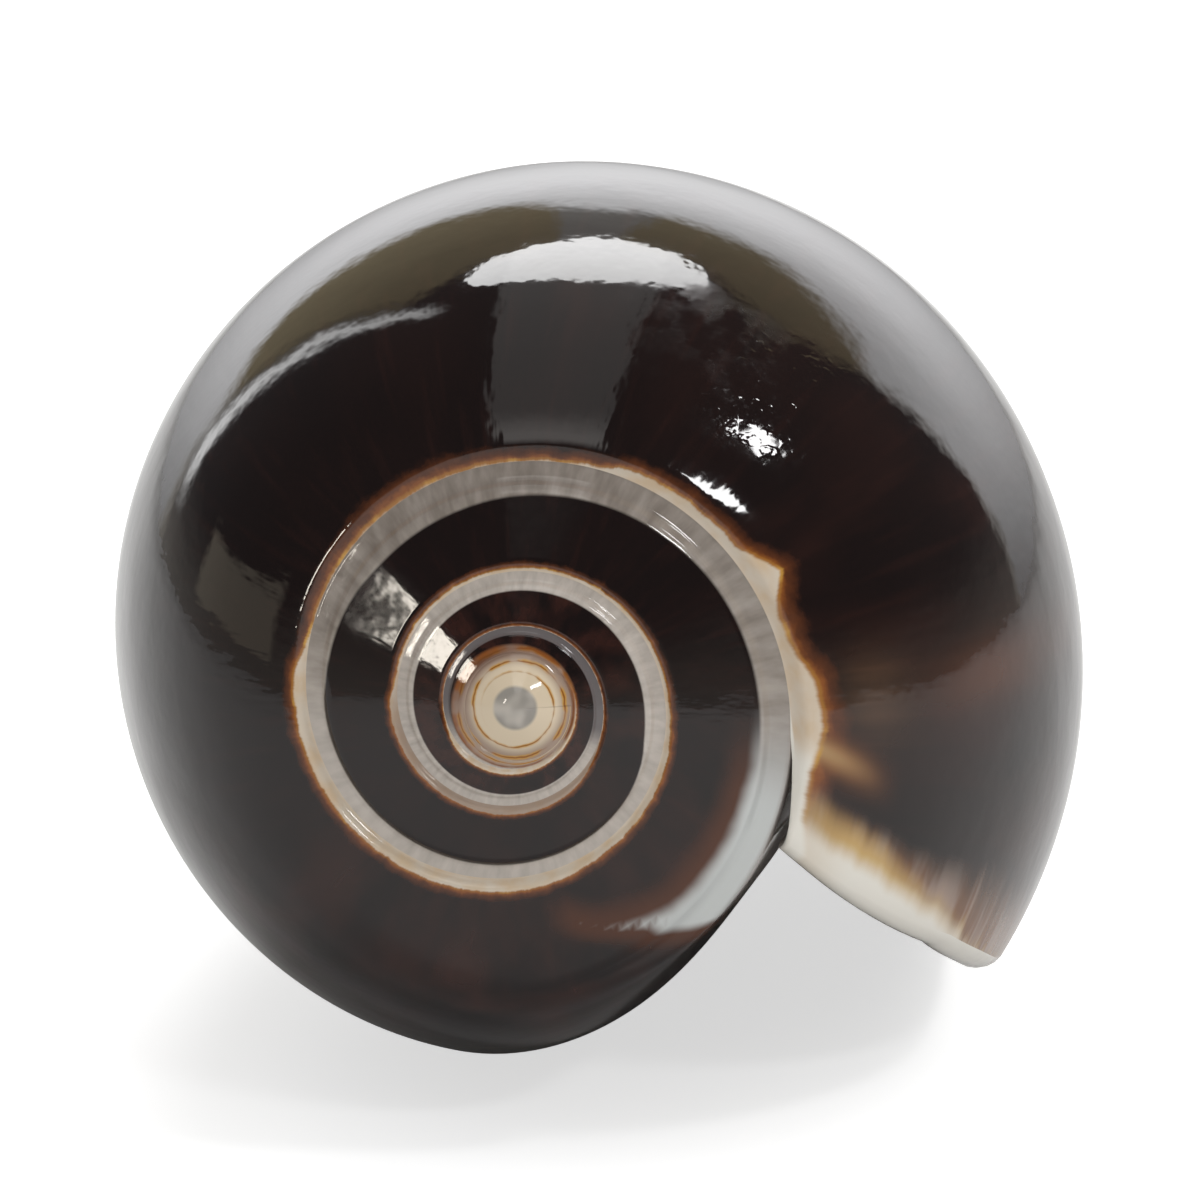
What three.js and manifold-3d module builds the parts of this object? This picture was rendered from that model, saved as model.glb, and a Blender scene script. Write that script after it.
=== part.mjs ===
// An olive shell: the glossy dark shell of a sea snail, lying on its long slit mouth.
// It grew as one piece, so it is one solid: a wall coiled about an axis, open along the mouth,
// with a channel between the turns of the low spire and a notch at the front end.
//
// The surface is a profile carried round the axis. A turn count g says how far the shell had grown:
// 0 at the outer lip, -1 one turn earlier. A station says where along the profile a point lies:
//   0 to 1  from the suture up to the crest of the rim beside it
//   1 to 2  the top of the turn, as far as the edge of the next channel
//   2 to 3  down that edge and over the channel's floor to the next suture
//   3 to 4  the shoulder, as far as the widest place
//   4 to 5  the long side and the front end, down to the tip of the pillar
// A point of the profile is [distance from the axis, depth below the apex].
import * as THREE from "three";
import Module from "manifold-3d";

// Driving dimensions, in millimetres.
const LIP_RADIUS = 13.7; // from the axis to the outer lip at its widest
const WIDEST_DEPTH = 13.5; // below the apex, where the shell is widest
const FRONT_LENGTH = 36.8; // from the widest place to the tip of the pillar
const WALL = 1.25; // thickness of the shell at the lip
const SUTURE_RADIUS = 7; // the last suture, where the lip begins
const BULB_RADIUS = 0.6; // the first whorl, about which the sutures wind
const FLAT_DEPTH = 0.06; // worn off where the shell touches what it lies on

// Growth, as the ratio from one turn to the next.
const SUTURE_GROWTH = 2;
const WIDTH_GROWTH = 1.43;
const FRONT_GROWTH = 3.03; // at the front end, where the mouth is wider

// The spire and its channel, as shares of the suture's radius.
const SPIRE_SLOPE = 0.22;
const CHANNEL_DEPTH = 0.042;
const RIM_WIDTH = 0.06;
const RIM_WIDTH_AT_LIP = 0.08;
const EDGE_WIDTH = 0.035;
const FLOOR_WIDTH = 0.115;
const SPIRE_START = -4.1; // turns, where the first suture begins
const BULB_HEIGHT = 0.15; // millimetres by which the first whorl stands above the cone
const SPIRE_LEAN = 0.04; // how far a turn of the spire lies to the left, per millimetre of radius
const SPIRE_DROP = 0.12; // millimetres by which the whole spire lies off the axis

// The lip, the mouth and the pillar, in turns unless they say otherwise.
const LIP_ANGLE = -35.4; // degrees from the right, seen from the apex
const LIP_LAG = 0.072; // how far the lip starts behind at the suture
const LIP_LAG_FALL = 1.25; // millimetres over which that lag dies out
const LIP_SLANT = 0.00085; // turns by which the lip runs ahead per millimetre of depth
const LIP_ROUND = 0.2; // how far the lip bulges at the suture, as a share of half a circle
const LIP_ROUND_END = 2.6; // the station from which its rim is a full half circle
const NOTCH_SWEEP = 0.53; // how far the front edge swings back to the tip
const NOTCH_START = 66; // degrees along the front
const NOTCH_PULL = 15; // degrees by which the notch cuts back
const NOTCH_CENTRE = -0.27;
const NOTCH_WIDTH = 0.15;
const MOUTH_END = -0.85; // where the modelled hollow stops
const FLATTENING = 0.23; // share by which the wall beside the mouth is drawn in
const FRONT_FULLNESS = 1.8;
const FRONT_BLUNTNESS = 0.42;
const FASCIOLE_HEIGHT = 0.3; // millimetres, the raised band at the front end
const FOLDS = 6; // ridges on the pillar
const FOLD_START = 36; // degrees along the front
const FOLD_PITCH = 6.5; // degrees
const FOLD_HEIGHT = 0.22; // millimetres

// How it lies: the apex looks along -Y and is raised, and the mouth is down.
const AXIS_TILT = 6.37; // degrees
const ROLL = 0.75; // degrees about the axis

// Faces.
const TURN_STEPS = 44;
const MOUTH_STEPS = 22;
const LIP_STEPS = 3;
const RIM_ROWS = 2;
const TOP_ROWS = 3;
const CHANNEL_ROWS = 2;
const SHOULDER_ROWS = 7;
const SIDE_ROWS = 5;
const FOLD_ROWS = 8;
const NOTCH_ROWS = 9;
const BULB_RINGS = 3;

const NODE = "shell";
const SHELL_COLOUR = 0x2a1a15;
const SHELL_ROUGHNESS = 0.08;

// Stations where the wall's two edges are grown on to the turn before.
const BACK_JOIN = 3.3;
const FRONT_JOIN = 4 + 84 / 90;

const radians = (degrees) => (degrees * Math.PI) / 180;
const mix = (a, b, share) => a + (b - a) * share;
const clamp = (x) => Math.min(1, Math.max(0, x));
const ease = (x) => clamp(x) ** 2 * (3 - 2 * clamp(x));

const sutureRadius = (g) => mix(BULB_RADIUS, SUTURE_RADIUS, SUTURE_GROWTH ** g);
const rimRadius = (g) => sutureRadius(g) * (1 + mix(RIM_WIDTH, RIM_WIDTH_AT_LIP, ease(g + 1)));
const edgeRadius = (g) => sutureRadius(g) / (1 + FLOOR_WIDTH);
const channelDepth = (g) => CHANNEL_DEPTH * sutureRadius(Math.min(g, 0));

// Radius at an angle along the front, 0 at the widest place and 90 at the tip.
// It grows by a larger ratio towards the tip, and is drawn in beside the mouth.
function frontRadius(g, angle) {
  const growth = mix(WIDTH_GROWTH, FRONT_GROWTH, Math.sin(radians(angle)) ** 1.5);
  const drawnIn = 1 - FLATTENING * (1 - ease((g + 0.985) / 0.17));
  const reach = Math.min(1, Math.abs(Math.sin(radians(angle))));
  const shape = (1 - reach ** FRONT_FULLNESS) ** FRONT_BLUNTNESS;
  return LIP_RADIUS * shape * growth ** g * drawnIn;
}

// Depth of the top at a given radius: a cone, then an ellipse from where the shoulder begins.
function topDepth(g, radius) {
  const start = shoulderStart(g);
  const widest = frontRadius(g, 0);
  const across = clamp((radius - start) / (widest - start));
  const drop = 1 - Math.sqrt(1 - across * across);
  return SPIRE_SLOPE * radius + (WIDEST_DEPTH - SPIRE_SLOPE * widest) * drop;
}

const shoulderStart = (g) => mix(sutureRadius(g + 1), sutureRadius(g), ease((g + 1) / 0.45));

// The channel beside a turn's own suture, and the one that the next turn lies against.
function channelDip(g, radius, station) {
  const own = 1 - ease((radius - sutureRadius(g)) / (rimRadius(g) - sutureRadius(g)));
  const nextTurn = 1 - ease((g + 1) / 0.2);
  const next = ease((radius / edgeRadius(g + 1) - 1) / EDGE_WIDTH);
  return channelDepth(g) * own + channelDepth(g + 1) * next * nextTurn * (1 - ease(station - 3));
}

// The raised band at the front, whose edge runs from the pillar round to the notch.
function fasciole(g, angle) {
  const edge = mix(38, 57, clamp((g + 1) / 0.6));
  const present = ease((g + 1.02) / 0.06) * (1 - ease((angle - 72) / 12));
  return FASCIOLE_HEIGHT * present * ease((angle - edge) / 4);
}

// Ridges that wind round the pillar inside the mouth, as far as its open edge.
function folds(g, angle, station) {
  const along = (angle - FOLD_START) / FOLD_PITCH;
  if (along < 0 || along > FOLDS) return 0;
  const present = ease((lipTurn(station) - 0.95 - g) / 0.06);
  return FOLD_HEIGHT * present * (0.5 - 0.5 * Math.cos(2 * Math.PI * along));
}

function frontAngle(g, station) {
  const plain = 90 * (station - 4);
  const notch = Math.exp(-(((g - NOTCH_CENTRE) / NOTCH_WIDTH) ** 2));
  return plain - NOTCH_PULL * notch * ease((plain - 45) / 33) * ease((90 - plain) / 11);
}

function profile(g, station) {
  if (station >= 4) {
    const angle = frontAngle(g, station);
    const ridges = fasciole(g, angle) + folds(g, angle, station);
    const radius = frontRadius(g, angle) + ridges;
    return [radius, WIDEST_DEPTH + FRONT_LENGTH * Math.sin(radians(angle))];
  }
  let radius;
  const suture = sutureRadius(g);
  if (station <= 1) radius = mix(suture, rimRadius(g), station);
  else if (station <= 2) radius = mix(rimRadius(g), edgeRadius(g + 1), station - 1);
  else if (station <= 3) radius = mix(edgeRadius(g + 1), sutureRadius(g + 1), station - 2);
  else {
    const start = shoulderStart(g);
    const widest = frontRadius(g, 0);
    const from = Math.asin(clamp((sutureRadius(g + 1) - start) / (widest - start)));
    radius = start + (widest - start) * Math.sin(mix(from, Math.PI / 2, station - 3));
  }
  return [radius, topDepth(g, radius) + channelDip(g, radius, station)];
}

// A point of the profile at turn g, in the shell's own frame: the axis is z, with the apex up.
// The spire's turns lie a little off the last one's axis, as they do in most shells.
function place(g, [radius, depth]) {
  const angle = radians(LIP_ANGLE) - 2 * Math.PI * g;
  const near = 1 - ease((depth - 1.5) / 7.5);
  const x = radius * Math.cos(angle) - SPIRE_LEAN * Math.min(radius, SUTURE_RADIUS) * near;
  const y = radius * Math.sin(angle) - SPIRE_DROP * near;
  return new THREE.Vector3(x, y, -depth);
}

// The turn at which the lip stands at a station: nearly straight, curled back at the suture,
// and swung right back round the notch to the tip of the pillar.
function lipTurn(station) {
  const notchStart = 4 + NOTCH_START / 90;
  const swing = NOTCH_SWEEP * ease((station - notchStart) / (FRONT_JOIN - notchStart));
  const radius = mix(sutureRadius(0), sutureRadius(1), Math.min(station, 3) / 3);
  const lag = LIP_LAG * Math.exp((sutureRadius(0) - radius) / LIP_LAG_FALL);
  const front = FRONT_LENGTH * Math.sin(radians(90 * Math.max(0, station - 4)));
  const back = topDepth(0, radius) - WIDEST_DEPTH;
  return LIP_SLANT * (station > 4 ? front : mix(back, 0, clamp(station - 3))) - lag - swing;
}

// The turn at which a row of the outer surface begins, where it passes into the mouth.
function mouthTurn(station) {
  const back = lipTurn(0) - lipTurn(BACK_JOIN);
  const front = lipTurn(5) - lipTurn(FRONT_JOIN);
  const nearBack = 1 - ease((station - BACK_JOIN) / 0.5);
  const nearFront = ease((station - 4.5) / (FRONT_JOIN - 4.5));
  return lipTurn(station) - 1 + back * nearBack + front * nearFront;
}

// The inner face of the wall: the outer face moved in by the wall's thickness, with its two
// edges brought to where they are grown on to the turn before.
function innerProfile(g, station) {
  const offset = (at) => {
    const small = 1e-3;
    const [r0, d0] = profile(g, Math.max(0, at - small));
    const [r1, d1] = profile(g, Math.min(5, at + small));
    const length = Math.hypot(r1 - r0, d1 - d0);
    const [radius, depth] = profile(g, at);
    const angle = frontAngle(g, Math.max(4, at));
    const gap = frontRadius(g, angle) - frontRadius(g - 1, angle);
    const thick = WALL * Math.tanh((0.55 * gap) / WALL);
    return [radius - (thick * (d1 - d0)) / length, depth + (thick * (r1 - r0)) / length];
  };
  const [radius, depth] = offset(station);
  if (station < 2) {
    const [edgeR, edgeD] = offset(0);
    const [joinR, joinD] = profile(g - 1, BACK_JOIN);
    const weight = 1 - ease(station / 2);
    return [radius + (joinR - edgeR) * weight, depth + (joinD - edgeD) * weight];
  }
  const [joinR, joinD] = profile(g - 1, FRONT_JOIN);
  const weight = ease((station - 4.8) / 0.2);
  return [mix(radius, joinR, weight), mix(depth, joinD, weight)];
}

// The stations of the rows, from the suture to the tip.
function rowStations() {
  const stations = [];
  const stretch = (from, to, rows) => {
    for (let i = 0; i < rows; i++) stations.push(mix(from, to, i / rows));
  };
  stretch(0, 1, RIM_ROWS);
  stretch(1, 2, TOP_ROWS);
  stretch(2, 3, CHANNEL_ROWS);
  for (let i = 0; i < LIP_STEPS; i++) {
    stations.push(mix(3, BACK_JOIN, (1 - Math.cos((Math.PI * i) / LIP_STEPS)) / 2));
  }
  stretch(BACK_JOIN, 4, SHOULDER_ROWS);
  stretch(4, 4.4, SIDE_ROWS);
  stretch(4.4, 4.7, FOLD_ROWS);
  stretch(4.7, FRONT_JOIN, NOTCH_ROWS);
  stretch(FRONT_JOIN, 5, LIP_STEPS);
  stations.push(5);
  return stations;
}

const STATIONS = rowStations();
const LAST = STATIONS.length - 1;
const CHANNEL_ROW = RIM_ROWS + TOP_ROWS + CHANNEL_ROWS; // lies on the next suture
const BACK_ROW = CHANNEL_ROW + LIP_STEPS;
const FRONT_ROW = LAST - LIP_STEPS;

const points = [];
const triangles = [];
const add = (point) => points.push(point) - 1;

function triangle(a, b, c) {
  if (a !== b && b !== c && c !== a) triangles.push(a, b, c);
}

// Joins columns of vertex numbers into quads, each split in two.
function weave(columns) {
  for (let c = 1; c < columns.length; c++) {
    for (let j = 1; j < columns[c].length; j++) {
      const [a, b] = [columns[c - 1][j - 1], columns[c - 1][j]];
      const [d, e] = [columns[c][j - 1], columns[c][j]];
      triangle(a, e, b);
      triangle(a, d, e);
    }
  }
}

// The spire: a strip that winds outwards, whose inner edge is the outer edge one turn before.
// It starts narrow and reaches its full width within its first turn.
function spireColumns() {
  const columns = [];
  const end = lipTurn(0) - 1;
  const count = Math.round((end - SPIRE_START) * TURN_STEPS);
  for (let c = 0; c <= count; c++) {
    const g = end - (count - c) / TURN_STEPS;
    const column = STATIONS.slice(0, CHANNEL_ROW + 1).map((station, j) => {
      if (j === 0 && c >= TURN_STEPS) return columns[c - TURN_STEPS][CHANNEL_ROW];
      const width = mix(0.12, 1, ease(c / (0.6 * TURN_STEPS)));
      const [radius, depth] = profile(g, station);
      const [outerRadius, outerDepth] = profile(g, 3);
      const narrowed = [mix(outerRadius, radius, width), mix(outerDepth, depth, width)];
      return add(place(g, narrowed));
    });
    columns.push(column);
  }
  return columns;
}

// The first whorl: a low dome that closes the hole in the middle of the spire.
function closeApex(spire) {
  const edge = [];
  for (let c = 0; c < TURN_STEPS; c++) edge.push(spire[c][0]);
  for (let j = CHANNEL_ROW; j > 0; j--) edge.push(spire[0][j]);
  const centre = new THREE.Vector3(0, -SPIRE_DROP, BULB_HEIGHT);
  let ring = edge;
  for (let i = 1; i < BULB_RINGS; i++) {
    const share = i / BULB_RINGS;
    const inner = edge.map((index) => {
      const point = points[index].clone().lerp(centre, share);
      point.z = mix(points[index].z, centre.z, Math.sin((share * Math.PI) / 2));
      return add(point);
    });
    weave([[...ring, ring[0]], [...inner, inner[0]]]);
    ring = inner;
  }
  const top = add(centre);
  ring.forEach((index, i) => triangle(top, ring[(i + 1) % ring.length], index));
}

// The wall inside the mouth that belongs to the turn before, with the pillar.
function pillarColumns() {
  const columns = [];
  for (let c = 0; c <= MOUTH_STEPS; c++) {
    columns.push(
      STATIONS.slice(BACK_ROW, FRONT_ROW + 1).map((station) => {
        const g = mix(mouthTurn(station), MOUTH_END - 1, c / MOUTH_STEPS);
        return add(place(g, profile(g, station)));
      }),
    );
  }
  return columns;
}

// The inner face of the last turn, which shares its two edges with the pillar's wall.
function innerColumns(pillar) {
  const columns = [];
  for (let c = 0; c <= MOUTH_STEPS; c++) {
    columns.push(
      STATIONS.map((station, j) => {
        if (j === 0) return pillar[c][0];
        if (j === LAST) return pillar[c][FRONT_ROW - BACK_ROW];
        const g = mix(lipTurn(station), MOUTH_END, c / MOUTH_STEPS);
        return add(place(g, innerProfile(g, station)));
      }),
    );
  }
  return columns;
}

// Where the rounded lip ends on the turn before, on that turn's own surface.
function lipEnd(step) {
  const turn = (Math.PI * step) / LIP_STEPS;
  const station = mix(3, BACK_JOIN, (1 - Math.cos(turn)) / 2);
  const ahead = (WALL / 2 / (2 * Math.PI * SUTURE_RADIUS)) * Math.sin(turn);
  const g = lipTurn(0) - 1 + ahead;
  return place(g, profile(g, station));
}

// The rounded edge of the lip: half a circle from the outer face to the inner one.
function lipRows(outer, inner, tip) {
  const nearEnd = (j) => 1 - ease(STATIONS[j] / 1.2);
  const generic = (j, step) => {
    const [from, to] = [points[outer[j]], points[inner[j]]];
    const middle = from.clone().lerp(to, 0.5);
    const half = from.clone().sub(middle);
    const along = points[outer[Math.min(j + 1, LAST)]].clone();
    along.sub(points[outer[Math.max(j - 1, 0)]]);
    const onward = new THREE.Vector3(from.y, -from.x, 0).normalize();
    const ahead = along.cross(half).normalize().lerp(onward, nearEnd(j)).normalize();
    const turn = (Math.PI * step) / LIP_STEPS;
    const fullness = mix(LIP_ROUND, 1, ease(STATIONS[j] / LIP_ROUND_END));
    const bulge = fullness * half.length() * Math.sin(turn);
    return middle.addScaledVector(half, Math.cos(turn)).addScaledVector(ahead, bulge);
  };
  return STATIONS.map((station, j) => {
    const row = [j === LAST ? tip : outer[j]];
    for (let step = 1; step < LIP_STEPS; step++) {
      const point = generic(j, step);
      const shift = lipEnd(step).sub(generic(0, step));
      row.push(add(point.addScaledVector(shift, nearEnd(j))));
    }
    row.push(inner[j]);
    return row;
  });
}

// The outer face of the last turn, from where it comes out of the mouth to the lip.
function outerColumns(spire, tip) {
  const columns = [];
  for (let c = 1; c <= TURN_STEPS; c++) {
    columns.push(
      STATIONS.map((station, j) => {
        if (j === 0) return spire[spire.length - 1 - TURN_STEPS + c][CHANNEL_ROW];
        if (j === LAST) return tip;
        let start = lipTurn(0) - 1;
        if (j > BACK_ROW) start = mouthTurn(Math.min(station, FRONT_JOIN));
        const g = mix(start, lipTurn(station), c / TURN_STEPS);
        return add(place(g, profile(g, station)));
      }),
    );
  }
  return columns;
}

// The far end of the hollow: triangles between the two walls.
function closeHollow(inner, pillar) {
  let [i, j] = [0, 0];
  while (i < inner.length - 1 || j < pillar.length - 1) {
    const innerShare = (i + 1) / (inner.length - 1);
    const pillarShare = (j + 1) / (pillar.length - 1);
    if (j === pillar.length - 1 || (i < inner.length - 1 && innerShare <= pillarShare)) {
      triangle(inner[i], pillar[j], inner[i + 1]);
      i += 1;
    } else {
      triangle(inner[i], pillar[j], pillar[j + 1]);
      j += 1;
    }
  }
}

function buildSurface() {
  const spire = spireColumns();
  const tip = add(place(0, profile(-1, 5)));
  const outer = outerColumns(spire, tip);
  const pillar = pillarColumns();
  const inner = innerColumns(pillar);
  const lip = lipRows(outer[TURN_STEPS - 1], inner[0], tip);
  const first = STATIONS.map((station, j) => {
    if (j <= CHANNEL_ROW) return spire[spire.length - 1][j];
    if (j < BACK_ROW) return lip[0][j - CHANNEL_ROW];
    if (j <= FRONT_ROW) return pillar[0][j - BACK_ROW];
    return lip[LAST][LAST - j];
  });
  weave(spire);
  weave([first, ...outer]);
  weave(lip[0].map((_, step) => lip.map((row) => row[step])));
  weave(inner);
  weave([...pillar].reverse());
  closeHollow(inner[MOUTH_STEPS], pillar[MOUTH_STEPS]);
  closeApex(spire);
}

buildSurface();
const coiled = new THREE.BufferGeometry();
const coordinates = points.flatMap((point) => point.toArray());
coiled.setAttribute("position", new THREE.Float32BufferAttribute(coordinates, 3));
coiled.setIndex(triangles);

// Laid on its mouth, centred over the origin.
coiled.rotateZ(radians(ROLL));
coiled.rotateX(radians(90 - AXIS_TILT));
coiled.computeBoundingBox();
const { min: low, max: high } = coiled.boundingBox;
coiled.translate(-(low.x + high.x) / 2, -(low.y + high.y) / 2, -low.z - FLAT_DEPTH);

// Worn flat where it touches the ground: under the belly and at the lip.
const wasm = await Module();
wasm.setup();
const solid = new wasm.Manifold(
  new wasm.Mesh({
    numProp: 3,
    vertProperties: coiled.attributes.position.array,
    triVerts: Uint32Array.from(triangles),
  }),
);
const ground = wasm.Manifold.cube([80, 80, 10], true).translate([0, 0, -5]);
const worn = solid.subtract(ground).getMesh();
const geometry = new THREE.BufferGeometry();
geometry.setAttribute("position", new THREE.BufferAttribute(worn.vertProperties, 3));
geometry.setIndex(new THREE.BufferAttribute(worn.triVerts, 1));
geometry.computeVertexNormals();

const material = new THREE.MeshStandardMaterial({
  color: SHELL_COLOUR,
  roughness: SHELL_ROUGHNESS,
  metalness: 0,
});
const shell = new THREE.Mesh(geometry, material);
shell.name = NODE;

const part = new THREE.Group();
part.add(shell);

export default part;
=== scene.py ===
# %% [markdown]
# # An olive shell
#
# An olive shell is the house of a sea snail. It is one piece: a wall that the animal laid down along
# its lip, turn after turn, about one axis. This script draws that wall as a surface with the same
# growth formula that the solid model follows, only finer, and then gives it its colour and gloss.

import math

import bpy
import numpy as np
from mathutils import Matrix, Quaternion, Vector


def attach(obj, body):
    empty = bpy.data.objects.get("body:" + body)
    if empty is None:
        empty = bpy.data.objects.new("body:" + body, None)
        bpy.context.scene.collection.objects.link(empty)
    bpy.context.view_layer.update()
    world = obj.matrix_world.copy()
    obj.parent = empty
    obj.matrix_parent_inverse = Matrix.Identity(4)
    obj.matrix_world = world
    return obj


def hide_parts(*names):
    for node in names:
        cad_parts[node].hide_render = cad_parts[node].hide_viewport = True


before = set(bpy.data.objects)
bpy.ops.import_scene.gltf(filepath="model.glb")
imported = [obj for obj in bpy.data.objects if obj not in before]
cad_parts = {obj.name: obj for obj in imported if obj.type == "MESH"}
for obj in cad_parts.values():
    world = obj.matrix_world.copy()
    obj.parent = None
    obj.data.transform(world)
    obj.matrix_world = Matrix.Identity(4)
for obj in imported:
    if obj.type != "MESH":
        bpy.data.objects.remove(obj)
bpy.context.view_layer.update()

# %% [markdown]
# ## How a shell grows
#
# A snail adds shell only at its lip, and everything it adds is a little larger than before. So one
# number says when a spot was made: the turn, 0 at the lip and -1 one turn earlier. A second number,
# the station, says where along the lip it was made: 0 at the suture beside the older turn, 1 at the
# crest of the rim, 2 at the edge of the next channel, 3 at the next suture, 4 at the widest place and
# 5 at the tip of the pillar. Sizes here are in millimetres, as in the solid model.

# %% Sizes, in millimetres, and growth, per turn
LIP_RADIUS = 13.7
WIDEST_DEPTH = 13.5
FRONT_LENGTH = 36.8
WALL = 1.25
SUTURE_RADIUS = 7.0
BULB_RADIUS = 0.6
FLAT_DEPTH = 0.06
SUTURE_GROWTH = 2.0
WIDTH_GROWTH = 1.43
FRONT_GROWTH = 3.03
SPIRE_SLOPE = 0.22
CHANNEL_DEPTH = 0.042
RIM_WIDTH, RIM_WIDTH_AT_LIP = 0.06, 0.08
EDGE_WIDTH = 0.035
FLOOR_WIDTH = 0.115
SPIRE_START = -4.1
BULB_HEIGHT = 0.15
SPIRE_LEAN, SPIRE_DROP = 0.04, 0.12
LIP_ANGLE = -35.4
LIP_LAG, LIP_LAG_FALL, LIP_SLANT = 0.072, 1.25, 0.00085
LIP_ROUND, LIP_ROUND_END = 0.2, 2.6
NOTCH_SWEEP, NOTCH_START, NOTCH_PULL = 0.53, 66, 15
NOTCH_CENTRE, NOTCH_WIDTH = -0.27, 0.15
MOUTH_END = -0.85
FLATTENING = 0.23
FRONT_FULLNESS, FRONT_BLUNTNESS = 1.8, 0.42
FASCIOLE_HEIGHT = 0.3
FOLDS, FOLD_START, FOLD_PITCH, FOLD_HEIGHT = 6, 36, 6.5, 0.22
AXIS_TILT, ROLL = 6.37, 0.75
BACK_JOIN, FRONT_JOIN = 3.3, 4 + 84 / 90

# %% [markdown]
# ## The growth formula
#
# Each function takes whole arrays of turns and stations, so the surface comes out of a handful of
# lines of arithmetic. The radius at a suture grows by a steady ratio on top of the small first whorl.


# %% Formula: the sutures and the widest place
def mix(a, b, share):
    """The value a share of the way from a to b."""
    return a + (b - a) * share


def ease(x):
    """0 below 0, 1 above 1, and 3 x squared less 2 x cubed between, which starts and ends flat."""
    x = np.clip(x, 0, 1)
    return x * x * (3 - 2 * x)


def suture_radius(g):
    """The first whorl's radius, plus the rest of the last suture's times 2 to the power g."""
    return mix(BULB_RADIUS, SUTURE_RADIUS, SUTURE_GROWTH**g)


def rim_radius(g):
    """The suture's radius and a share of it more, a larger share in the last turn."""
    return suture_radius(g) * (1 + mix(RIM_WIDTH, RIM_WIDTH_AT_LIP, ease(g + 1)))


def edge_radius(g):
    """Where the older turn's rounded edge stands: the suture's radius less the channel's floor."""
    return suture_radius(g) / (1 + FLOOR_WIDTH)


def channel_depth(g):
    """A fixed share of the suture's radius, and no more than at the lip."""
    return CHANNEL_DEPTH * suture_radius(np.minimum(g, 0))


def front_radius(g, angle):
    """The lip's radius, times a rounded profile along the front, times the growth ratio to the
    power g. The ratio rises towards the tip, and the wall inside the mouth is drawn in."""
    sine = np.clip(np.abs(np.sin(np.radians(angle))), 0, 1)
    growth = mix(WIDTH_GROWTH, FRONT_GROWTH, sine**1.5)
    drawn_in = 1 - FLATTENING * (1 - ease((g + 0.985) / 0.17))
    shape = (1 - sine**FRONT_FULLNESS) ** FRONT_BLUNTNESS
    return LIP_RADIUS * shape * growth**g * drawn_in


def shoulder_start(g):
    """The radius at which the cone of the spire passes into the rounded shoulder."""
    return mix(suture_radius(g + 1), suture_radius(g), ease((g + 1) / 0.45))


def top_depth(g, radius):
    """The depth below the apex: a cone's slope times the radius, then a quarter of an ellipse."""
    start, widest = shoulder_start(g), front_radius(g, 0)
    across = np.clip((radius - start) / (widest - start), 0, 1)
    drop = 1 - np.sqrt(1 - across * across)
    return SPIRE_SLOPE * radius + (WIDEST_DEPTH - SPIRE_SLOPE * widest) * drop


# %% Formula: channel, raised band and folds
def channel_dip(g, radius, station):
    """How far the channel sinks: full at a turn's own suture and gone at the crest of its rim, and
    full again past the edge that the next turn lies against."""
    own = 1 - ease((radius - suture_radius(g)) / (rim_radius(g) - suture_radius(g)))
    beyond = ease((radius / edge_radius(g + 1) - 1) / EDGE_WIDTH)
    covered = (1 - ease((g + 1) / 0.2)) * (1 - ease(station - 3))
    return channel_depth(g) * own + channel_depth(g + 1) * beyond * covered


def band_edge(g):
    """The angle along the front at which the raised band starts, from the pillar to the notch."""
    return mix(38, 57, np.clip((g + 1) / 0.6, 0, 1))


def fasciole(g, angle):
    """The raised band at the front: a step whose edge runs from the pillar round to the notch."""
    edge = band_edge(g)
    present = ease((g + 1.02) / 0.06) * (1 - ease((angle - 72) / 12))
    return FASCIOLE_HEIGHT * present * ease((angle - edge) / 4)


def folds(g, angle, station):
    """Ridges that wind round the pillar: a raised cosine of the angle along the front, present
    only inside the mouth, with finer ones further back."""
    along = (angle - FOLD_START) / FOLD_PITCH
    main = (along > 0) & (along < FOLDS)
    fine = (angle > 12) & (angle < FOLD_START)
    height = np.where(main, FOLD_HEIGHT, np.where(fine, FOLD_HEIGHT * 0.35, 0))
    present = ease((lip_turn(station) - 0.95 - g) / 0.06)
    turns = np.where(main, along, (angle - 12) / 4.0)
    return height * present * (0.5 - 0.5 * np.cos(2 * np.pi * turns))


def front_angle(g, station):
    """90 degrees a station, pulled back about the notch by a bell curve of the turn."""
    plain = 90 * (station - 4)
    notch = np.exp(-(((g - NOTCH_CENTRE) / NOTCH_WIDTH) ** 2))
    return plain - NOTCH_PULL * notch * ease((plain - 45) / 33) * ease((90 - plain) / 11)


# %% Formula: the profile, the lip and the inner face
def profile(g, station):
    """Distance from the axis and depth below the apex, piece by piece along the stations: straight
    steps of radius over the spire, a quarter of an ellipse at the shoulder, then the long front."""
    g, station = np.broadcast_arrays(np.asarray(g, float), np.asarray(station, float))
    suture, following = suture_radius(g), suture_radius(g + 1)
    rim, edge = rim_radius(g), edge_radius(g + 1)
    start, widest = shoulder_start(g), front_radius(g, 0)
    begin = np.arcsin(np.clip((following - start) / (widest - start), 0, 1))
    bend = np.sin(mix(begin, np.pi / 2, np.clip(station - 3, 0, 1)))
    steps = [mix(suture, rim, station), mix(rim, edge, station - 1), mix(edge, following, station - 2)]
    pieces = [station <= 1, station <= 2, station <= 3]
    radius = np.select(pieces, steps, start + (widest - start) * bend)
    depth = top_depth(g, radius) + channel_dip(g, radius, station)
    angle = front_angle(g, np.maximum(station, 4))
    front = front_radius(g, angle) + fasciole(g, angle) + folds(g, angle, station)
    front_depth = WIDEST_DEPTH + FRONT_LENGTH * np.sin(np.radians(angle))
    return np.where(station >= 4, front, radius), np.where(station >= 4, front_depth, depth)


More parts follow.
